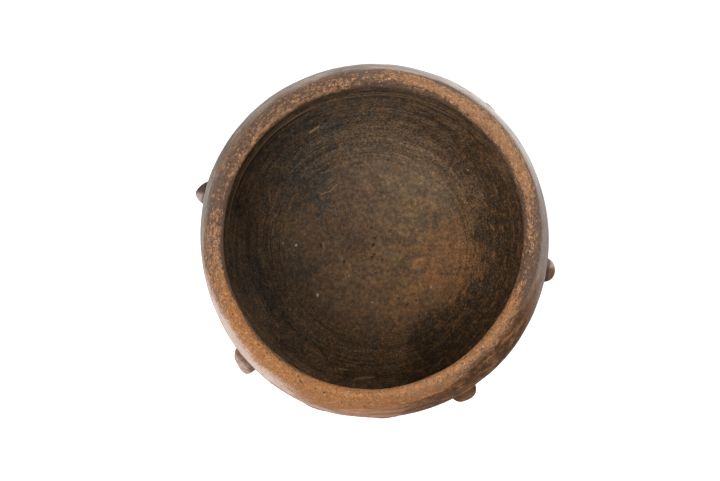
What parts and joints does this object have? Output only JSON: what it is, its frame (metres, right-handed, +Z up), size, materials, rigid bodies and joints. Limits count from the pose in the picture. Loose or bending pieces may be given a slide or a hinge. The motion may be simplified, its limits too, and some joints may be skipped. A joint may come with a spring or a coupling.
{
  "type": "face pot",
  "caption": "Hand-built round clay bowl with a thick turned-in lip, small lugs round its wall and a calm face in low relief on the front, standing on a small flat foot.",
  "frame": {"origin": "centre of the flat foot, on the surface the pot stands on", "axes": "+Z up out of the mouth, -Y the way the face looks, +X to the right of someone who faces the pot"},
  "size_m": [0.3219, 0.3031, 0.1732],
  "materials": {
    "base_clay": "smoked unglazed earthenware, worn and sooty on the outside, dark brown inside",
    "wall_clay": "burnished unglazed earthenware, brown with smoke clouds and a soft grey sheen outside, dark brown and wiped inside",
    "lip_clay": "unburnished tan earthenware, matt and gritty",
    "applied_clay": "burnished unglazed earthenware, red-brown with grey smoke marks"
  },
  "bodies": {
    "root": {"base_dish": "base_clay", "wall_coil_1": "wall_clay", "wall_coil_2": "wall_clay", "wall_coil_3": "wall_clay", "wall_coil_4": "wall_clay", "wall_coil_5": "wall_clay", "wall_coil_6": "wall_clay", "wall_coil_7": "wall_clay", "lip_coil": "lip_clay", "ear_lug_left": "applied_clay", "ear_lug_right": "applied_clay", "side_lug_right": "applied_clay", "back_lug_right": "applied_clay", "back_lug_left": "applied_clay", "side_lug_left": "applied_clay", "eye_left": "applied_clay", "eye_right": "applied_clay", "brow_left": "applied_clay", "brow_right": "applied_clay", "nose": "applied_clay", "upper_lip": "applied_clay", "lower_lip": "applied_clay", "shoulder_ridge": "applied_clay"}
  },
  "joints": []
}
